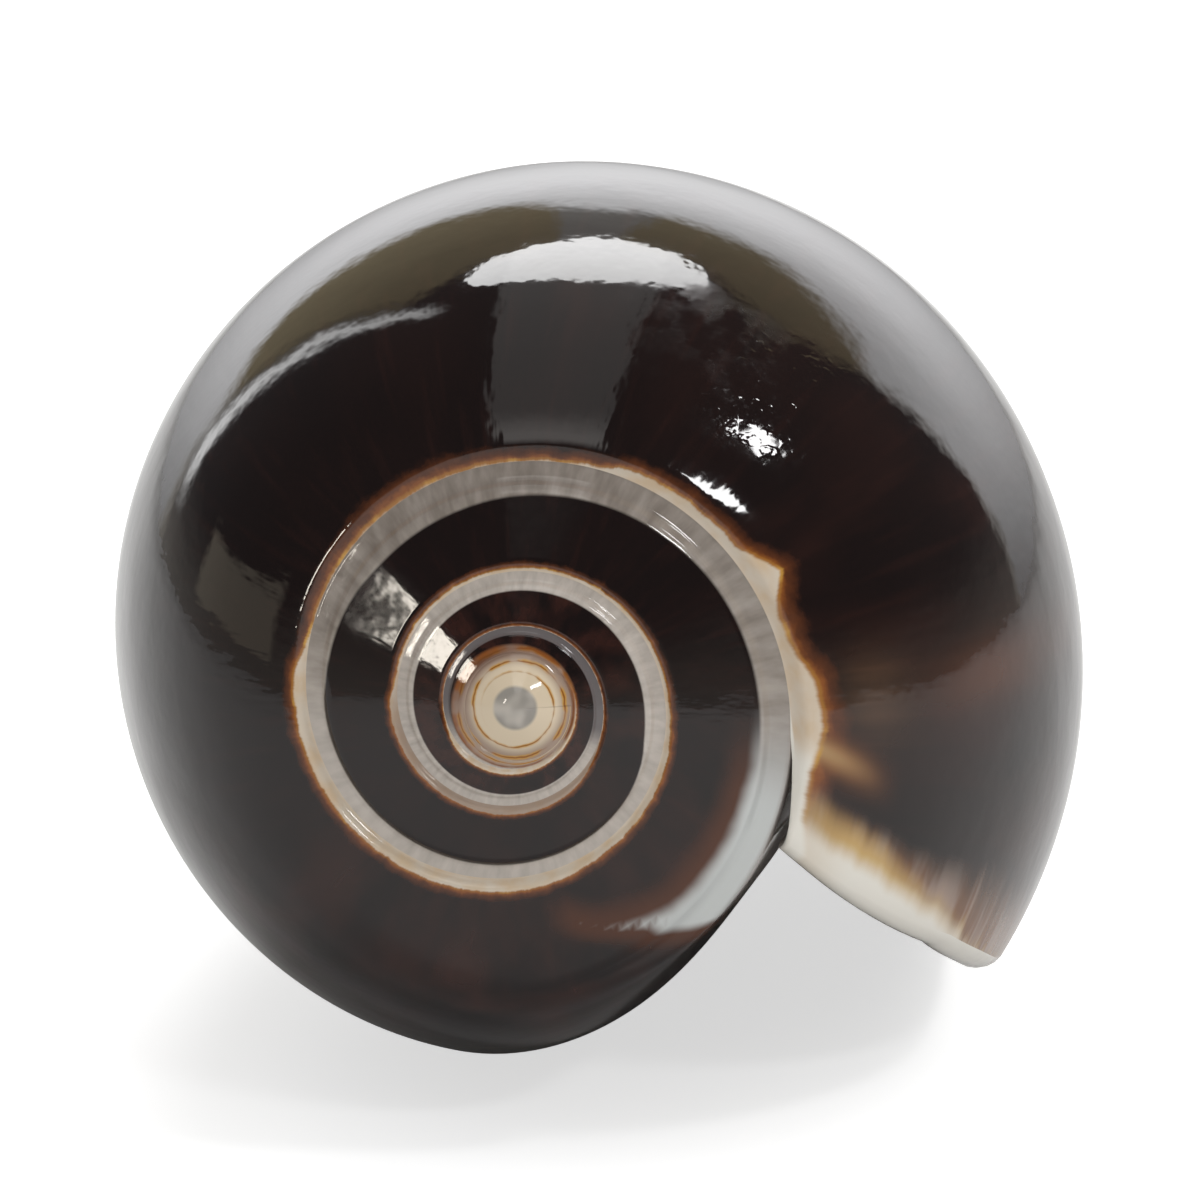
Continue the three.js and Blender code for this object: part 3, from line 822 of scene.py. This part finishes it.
gold_share = times(rise(beyond, 0.022, 0.006), times(outer_turns, gold_here))
colour = blend(gold_share, colour, GOLD)
rim_tone = grain(40.0, own, 9.0, 5.0, 3.0)
cream = blend(rise(rim_tone, 0.35, 0.7), CREAM, WARM_CREAM)
second_ring = span(line, -2.1, -2.0, -1.65, -1.5)
cream = blend(times(second_ring, 0.8), cream, PINKISH)
cream_share = times(rise(beyond, 0.006, -0.014), outer_turns)
colour = blend(cream_share, colour, cream)

# %% Channel floor: grey glaze with faint cross marks, and a dark edge inside it
FLOOR_GREY = (0.205, 0.175, 0.15, 1)
FLOOR_PALE = (0.56, 0.51, 0.46, 1)
FLOOR_LILAC = (0.15, 0.135, 0.135, 1)
cross_marks = grain(110.0, following, 6.0, 9.0, 3.0)
paleness = curve(
    line,
    [(-4.1, 0.8), (-3.2, 0.85), (-3.0, 0.9), (-2.5, 0.75), (-2.1, 0.8), (-2.0, 0.8)]
    + [(-1.75, 0.85), (-1.6, 0.7), (-1.5, 0.15), (-1.4, 0.12), (-1.2, 0.25), (-1.0, 0.4)],
)
floor_tone = work("ADD", paleness, times(minus(cross_marks, 0.5), 0.9), clamp=True)
floor_colour = blend(floor_tone, FLOOR_GREY, FLOOR_PALE)
lilac_turn = span(line, -3.72, -3.6, -3.06, -3.0)
floor_colour = blend(lilac_turn, floor_colour, FLOOR_LILAC)
before_mouth = rise(line, -0.98, -1.0)
floor_share = times(rise(beyond_floor, 0.006, -0.01), before_mouth)
colour = blend(floor_share, colour, floor_colour)

# %% [markdown]
# ## Lip, glaze and mouth
#
# The lip is the newest shell: cream at its edge, then gold, then brown streaks that deepen into the
# body. The animal also spreads a white glaze over the older turn ahead of the suture and inside the
# mouth. The distance from the lip and from the mouth's edge, in millimetres, gives all of these.

# %% Lip: cream edge, gold line and streaks that run back from it
LIP_WHITE = (0.78, 0.75, 0.68, 1)
LIP_GOLD = (0.56, 0.37, 0.14, 1)
LIP_STREAK = (0.24, 0.11, 0.05, 1)
LIP_PINK = (0.40, 0.29, 0.23, 1)
across_lip = vector(times(lip_mm, 0.12), times(station, 6.0), 0.0)
lip_ragged = minus(noise(across_lip, 1.3, 2.5, 0.5), 0.5)
lip_swing = plus(0.5, times(rise(station, 1.5, 2.3), 0.7))
lip_back = plus(lip_mm, times(lip_ragged, lip_swing))
lip_tone = noise(vector(times(lip_mm, 0.2), times(station, 5.0), 8.0), 1.3, 3.0, 0.6)
outer_face = times(rise(inside, 0.98, 0.55), rise(station, 0.7, 1.4))
streak_colour = blend(rise(lip_tone, 0.4, 0.64), LIP_STREAK, LIP_PINK)
streak_reach = plus(1.8, rise(station, 1.5, 2.4))
streak_mask = times(rise(lip_back, streak_reach, 0.9), outer_face)
colour = blend(times(streak_mask, 0.8), colour, streak_colour)
gold_end = plus(0.3, times(rise(station, 2.0, 1.3), 0.5))
gold_mask = times(rise(lip_back, plus(gold_end, 0.85), gold_end), outer_face)
colour = blend(gold_mask, colour, LIP_GOLD)
suture_cream = times(rise(beyond, 0.012, -0.02), rise(line, -0.085, -0.06))
colour = blend(suture_cream, colour, LIP_WHITE)
lip_edge = plus(lip_mm, times(lip_ragged, 0.5))
colour = blend(times(rise(lip_edge, 0.95, 0.35), outer_face), colour, LIP_WHITE)
colour = blend(times(rise(lip_mm, 0.7, 0.3), rise(station, 1.4, 0.7)), colour, LIP_WHITE)

# %% Glaze ahead of the suture, the fasciole at the front, and the inside of the mouth
GLAZE_WHITE = (0.56, 0.58, 0.57, 1)
INSIDE_WHITE = (0.62, 0.61, 0.60, 1)
INSIDE_BROWN = (0.30, 0.20, 0.14, 1)
FRONT_CREAM = (0.52, 0.42, 0.30, 1)
FRONT_BROWN = (0.20, 0.10, 0.045, 1)
glaze_ragged = times(minus(noise(object_place, 900.0, 2.0), 0.5), 0.25)
glaze_edge = plus(glaze, glaze_ragged)
on_parietal = span(line, -1.1, -1.03, -0.9, -0.86)
brown_fringe = times(rise(glaze_edge, -1.0, -0.1), on_parietal)
colour = blend(times(brown_fringe, 0.7), colour, RED_BROWN)
white_share = times(rise(glaze_edge, -0.15, 0.3), on_parietal)
white_share = times(white_share, plus(0.3, times(rise(station, 3.15, 2.85), 0.7)))
colour = blend(white_share, colour, GLAZE_WHITE)
front_band = times(rise(past_band, -0.4, 0.5), rise(turn, -1.05, -0.97))
threads = noise(vector(times(past_band, 0.75), times(turn, 3.0), 2.0), 1.0, 3.0, 0.6)
crescents = grain(42.0, past_band, 0.1, 2.0, 3.0, 0.6)
front_colour = blend(times(rise(threads, 0.48, 0.62), 0.75), FRONT_CREAM, FRONT_BROWN)
front_colour = blend(times(rise(crescents, 0.5, 0.7), 0.45), front_colour, FRONT_BROWN)
front_colour = blend(bell(past_band, 1.0, 0.9), front_colour, RED_BROWN)
front_colour = blend(rise(depth_mm, 48.6, 50.0), front_colour, FRONT_CREAM)
colour = blend(front_band, colour, front_colour)
pillar_white = times(rise(mouth_mm, 3.0, 1.6), rise(station, 4.0, 4.25))
colour = blend(pillar_white, colour, LIP_WHITE)
inside_tone = grain(12.0, station, 2.0, 4.0)
inside_colour = blend(rise(inside_tone, 0.45, 0.75), INSIDE_WHITE, INSIDE_BROWN)
colour = blend(rise(inside, 0.6, 0.98), colour, inside_colour)

# %% Bulb at the top: a grey, clear first shell, and a cream spiral with golden edges round it
BULB_GREY = (0.30, 0.28, 0.25, 1)
BULB_CLEAR = (0.5, 0.46, 0.41, 1)
BULB_CREAM = (0.68, 0.57, 0.42, 1)
BULB_PINK = (0.36, 0.265, 0.205, 1)
apex = laid(np.concatenate([np.concatenate(vertices), [[0, -SPIRE_DROP, BULB_HEIGHT]]]))[-1] / 1000
place_parts = tree.nodes.new("ShaderNodeSeparateXYZ")
feed(place_parts.inputs[0], object_place)
from_apex = [minus(place_parts.outputs[k], float(apex[k])) for k in (0, 2)]
round_share = work("DIVIDE", work("ARCTAN2", from_apex[1], from_apex[0]), 2 * math.pi)
round_share = work("FRACT", plus(round_share, 1 - LIP_ANGLE / 360))
bulb_wave = times(minus(noise(object_place, 2600.0, 2.0, 0.6), 0.5), 0.3)
spiral = times(work("LOGARITHM", work("DIVIDE", radius_mm, 1.17), math.e), 4.0)
spiral = plus(plus(spiral, round_share), bulb_wave)
from_line = work("ABSOLUTE", minus(work("FRACT", plus(spiral, 0.5)), 0.5))
bulb_tone = noise(object_place, 1500.0, 2.0, 0.6)
bulb = blend(rise(radius_mm, 0.9, 1.2), BULB_CREAM, BULB_PINK)
outer_line = rise(radius_mm, 0.78, 0.9)
gold_line = times(rise(from_line, 0.26, 0.05), rise(bulb_tone, 0.38, 0.56))
bulb = blend(times(gold_line, outer_line), bulb, GOLD)
brown_line = times(rise(from_line, 0.1, 0.0), rise(bulb_tone, 0.3, 0.55))
bulb = blend(times(brown_line, outer_line), bulb, ORANGE_BROWN)
crescent = times(bell(round_share, 0.47, 0.15), rise(radius_mm, 1.12, 1.28))
bulb = blend(times(crescent, 0.85), bulb, RED_BROWN)
outer_fringe = times(bell(radius_mm, 1.42, 0.1), rise(bulb_tone, 0.3, 0.6))
bulb = blend(outer_fringe, bulb, ORANGE_BROWN)
clear = noise(object_place, 1900.0, 1.0, 0.5)
centre = blend(rise(clear, 0.35, 0.7), BULB_GREY, BULB_CLEAR)
bulb = blend(rise(radius_mm, 0.56, 0.46), bulb, centre)
colour = blend(rise(radius_mm, 1.5, 1.4), colour, bulb)
feed(shader.inputs["Base Color"], colour)

# %% [markdown]
# ## Gloss
#
# The gloss comes from a clear glaze that is never quite flat, so the edges of a reflection are wavy.
# A low, wide bump gives the wave, a finer one along the growth lines the faint steps of growth, and
# one worn patch is pitted and dull. The Principled shader's own gloss layer carries the reflection.

# %% Gloss: polish, waves and a scuffed patch
WAVE_HEIGHT, SMALL_WAVE_HEIGHT = 0.00007, 0.000014  # metres
STEP_HEIGHT, PIT_HEIGHT = 0.000012, 0.000022  # metres
POLISH, INSIDE_DULLNESS, PIT_DULLNESS, HAZE_DULLNESS = 0.05, 0.12, 0.1, 0.26
wave = noise(object_place, 330.0, 1.0, 0.5)
growth_steps = grain(95.0, station, 2.0, 1.0)
scuffed = times(bell(line, -0.24, 0.035), bell(station, 1.75, 0.4))
small_wave = noise(object_place, 1300.0, 2.0, 0.55)
pits = noise(object_place, 6500.0, 1.0, 0.6)
pitted = times(scuffed, rise(noise(object_place, 1500.0, 2.0, 0.65), 0.5, 0.6))
height = plus(times(wave, WAVE_HEIGHT), times(small_wave, SMALL_WAVE_HEIGHT))
height = plus(height, times(growth_steps, STEP_HEIGHT))
height = times(height, plus(0.22, times(rise(line, -1.3, -0.9), 0.78)))
height = plus(height, times(times(pits, pitted), PIT_HEIGHT))
bump = tree.nodes.new("ShaderNodeBump")
bump.inputs["Distance"].default_value = 1.0
bump.inputs["Strength"].default_value = 0.6
feed(bump.inputs["Height"], height)
feed(shader.inputs["Normal"], bump.outputs["Normal"])
haze = times(bell(line, -0.262, 0.03), bell(station, 2.0, 0.5))
haze = times(haze, rise(noise(object_place, 700.0, 3.0, 0.65), 0.42, 0.62))
rough = plus(POLISH, times(scuffed, times(rise(pits, 0.5, 0.75), PIT_DULLNESS)))
rough = plus(rough, times(haze, HAZE_DULLNESS))
rough = plus(rough, times(rise(inside, 0.5, 1.0), INSIDE_DULLNESS))
feed(shader.inputs["Roughness"], rough)
shader.inputs["IOR"].default_value = 1.5
shader.distribution = "GGX"
print("nodes in the finish:", len(tree.nodes))

# %% [markdown]
# ## Camera and light
#
# The camera looks along the shell's axis at the spire, from a little above, through a long lens. A
# glossy dark shell shows mostly what it reflects: a pale surround whitens its edges, and what stands
# before it stays dark, so the light is as much a part of the look as the colour.

# %% Camera: a long lens, aimed a little below the shell's middle
AZIMUTH, ELEVATION, DISTANCE = 3.64, 11.47, 0.18274  # degrees, degrees and metres
SHELL_MIDDLE = Vector((0, 0, 0.011))
AIM_LEFT, AIM_DOWN = 0.00080, 0.00231  # metres from the middle
FOCAL_PIXELS, FRAME_PIXELS = 6794.2, 1200


def toward_point(azimuth, elevation):
    """A direction: azimuth from the camera's side towards the right, elevation upwards, in degrees."""
    a, e = math.radians(azimuth), math.radians(elevation)
    return Vector((math.sin(a) * math.cos(e), -math.cos(a) * math.cos(e), math.sin(e)))


toward = toward_point(AZIMUTH, ELEVATION)
right = Vector((math.cos(math.radians(AZIMUTH)), math.sin(math.radians(AZIMUTH)), 0))
upward = toward.cross(right)
aim = SHELL_MIDDLE - AIM_LEFT * right - AIM_DOWN * upward
lens = bpy.data.cameras.new("camera")
lens.sensor_width, lens.lens = 36.0, 36.0 * FOCAL_PIXELS / FRAME_PIXELS
lens.clip_start, lens.clip_end = 0.01, 20
camera = bpy.data.objects.new("camera", lens)
camera.location = SHELL_MIDDLE + DISTANCE * toward
camera.rotation_euler = (camera.location - aim).to_track_quat("Z", "Y").to_euler()
bpy.context.collection.objects.link(camera)
bpy.context.scene.camera = camera
print("lens in mm:", round(lens.lens, 1))

# %% Floor: a pale sheet, lifted by a little light that only the camera sees
floor_mesh = bpy.data.meshes.new("floor")
floor_mesh.from_pydata([(-2, -2, 0), (2, -2, 0), (2, 2, 0), (-2, 2, 0)], [], [(0, 1, 2, 3)])
floor = bpy.data.objects.new("floor", floor_mesh)
bpy.context.collection.objects.link(floor)
PAPER_WHITE, CAMERA_LIFT = (0.66, 0.66, 0.66, 1), 0.64
paper = bpy.data.materials.new("paper")
paper.use_nodes = True
paper_shader = paper.node_tree.nodes["Principled BSDF"]
paper_shader.inputs["Base Color"].default_value = PAPER_WHITE
paper_shader.inputs["Roughness"].default_value = 0.9
paper_shader.inputs["Specular IOR Level"].default_value = 0.0
lift = paper.node_tree.nodes.new("ShaderNodeMath")
lift.operation = "MULTIPLY"
lift.inputs[1].default_value = CAMERA_LIFT
light_path = paper.node_tree.nodes.new("ShaderNodeLightPath")
paper.node_tree.links.new(light_path.outputs["Is Camera Ray"], lift.inputs[0])
paper.node_tree.links.new(lift.outputs[0], paper_shader.inputs["Emission Strength"])
floor_mesh.materials.append(paper)


# %% Lamps: two washes that light the floor, and soft panels that the gloss shows
def panel(
    name, azimuth, elevation, distance, size, radiance, shape="RECTANGLE", colour=(1, 1, 1), roll=0
):
    """A soft panel turned towards the shell and rolled by degrees about the way it faces. Its power
    is its radiance times its area times pi."""
    light = bpy.data.lights.new(name, "AREA")
    light.shape, light.size, light.size_y = shape, size[0], size[1]
    share = 1 if shape == "RECTANGLE" else math.pi / 4
    light.energy = radiance * math.pi * size[0] * size[1] * share
    light.color = colour
    lamp = bpy.data.objects.new(name, light)
    way = toward_point(azimuth, elevation)
    lamp.location = Vector((0, -0.01, 0.014)) + distance * way
    rolled = way.to_track_quat("Z", "Y") @ Quaternion((0, 0, 1), math.radians(roll))
    lamp.rotation_euler = rolled.to_euler()
    bpy.context.collection.objects.link(lamp)


def wash(name, azimuth, elevation, energy, spread):
    """A very wide sun that lights the floor softly and that the gloss doesn't show."""
    light = bpy.data.lights.new(name, "SUN")
    light.energy, light.angle = energy, math.radians(spread)
    lamp = bpy.data.objects.new(name, light)
    lamp.rotation_euler = toward_point(azimuth, elevation).to_track_quat("Z", "Y").to_euler()
    lamp.visible_glossy = False
    bpy.context.collection.objects.link(lamp)


wash("main_wash", 140, 52, 1.1, 80)
wash("even_wash", 0, 75, 0.7, 170)
panel("top_panel", 180, 58, 0.5, (0.30, 0.14), 8.0, "ELLIPSE")
panel("key_panel", 70, 48, 0.6, (0.10, 0.07), 26.0)
panel("second_panel", 33, 34, 0.6, (0.13, 0.05), 26.0)
panel("window_panel", -24.6, 12.2, 0.6, (0.019, 0.09), 24.0, colour=(1.0, 0.93, 0.82), roll=-28)

# %% Surround: dim above and before the shell, a white wall behind it
CEILING, HORIZON = (0.10, 0.10, 0.105, 1), (0.42, 0.40, 0.37, 1)
STRIP_ABOVE, STRIP_BEFORE = (0.65, 0.65, 0.64, 1), (1.6, 1.55, 1.5, 1)
OLIVE, BRIGHT_EDGE = (0.60, 0.51, 0.33, 1), (3.6, 3.6, 3.6, 1)
LEFT_WINDOW = (0.75, 0.68, 0.56, 1)
WALL_FOOT, WALL_FACE = (0.5, 0.5, 0.505, 1), (2.3, 2.3, 2.33, 1)
surround = bpy.data.worlds.new("surround")
surround.use_nodes = True
tree = surround.node_tree
way_parts = tree.nodes.new("ShaderNodeSeparateXYZ")
feed(way_parts.inputs[0], tree.nodes.new("ShaderNodeTexCoord").outputs["Generated"])
way_x, way_y, way_z = way_parts.outputs
elevation = times(work("ARCSINE", way_z), 180 / math.pi)
azimuth = times(work("ARCTAN2", way_x, times(way_y, -1.0)), 180 / math.pi)
full_azimuth = times(work("FRACT", work("DIVIDE", azimuth, 360.0)), 360.0)
room = blend(rise(elevation, -2.0, 14.0), HORIZON, CEILING)
strip = work("ABSOLUTE", work("DIVIDE", way_x, work("MAXIMUM", way_z, 0.05)))
strip = times(rise(strip, 0.235, 0.205), rise(elevation, 24.0, 36.0))
strip_front = times(rise(elevation, 60.0, 42.0), rise(way_y, 0.1, -0.2))
room = blend(strip, room, blend(strip_front, STRIP_ABOVE, STRIP_BEFORE))
behind = span(full_azimuth, 127.0, 133.0, 218.0, 226.0)
gap = span(full_azimuth, 173.0, 176.0, 185.0, 188.0)
olive = times(times(behind, rise(elevation, 52.0, 48.0)), minus(1.0, times(gap, 0.85)))
room = blend(olive, room, OLIVE)
edge_strip = times(bell(full_azimuth, 226.0, 2.2), span(elevation, 4.0, 12.0, 54.0, 62.0))
room = blend(edge_strip, room, BRIGHT_EDGE)
left = span(azimuth, -110.0, -106.0, -56.0, -50.0)
room = blend(times(left, span(elevation, 2.5, 4.0, 13.0, 16.0)), room, LEFT_WINDOW)
wall_top = minus(34.0, times(rise(full_azimuth, 178.0, 222.0), 19.0))
wall = times(behind, rise(minus(elevation, wall_top), 3.0, -3.0))
room = blend(wall, room, blend(rise(elevation, -6.0, 22.0), WALL_FOOT, WALL_FACE))
feed(tree.nodes["Background"].inputs["Color"], room)
tree.nodes["Background"].inputs["Strength"].default_value = 1.0
bpy.context.scene.world = surround
bpy.context.scene.view_settings.view_transform = "Standard"
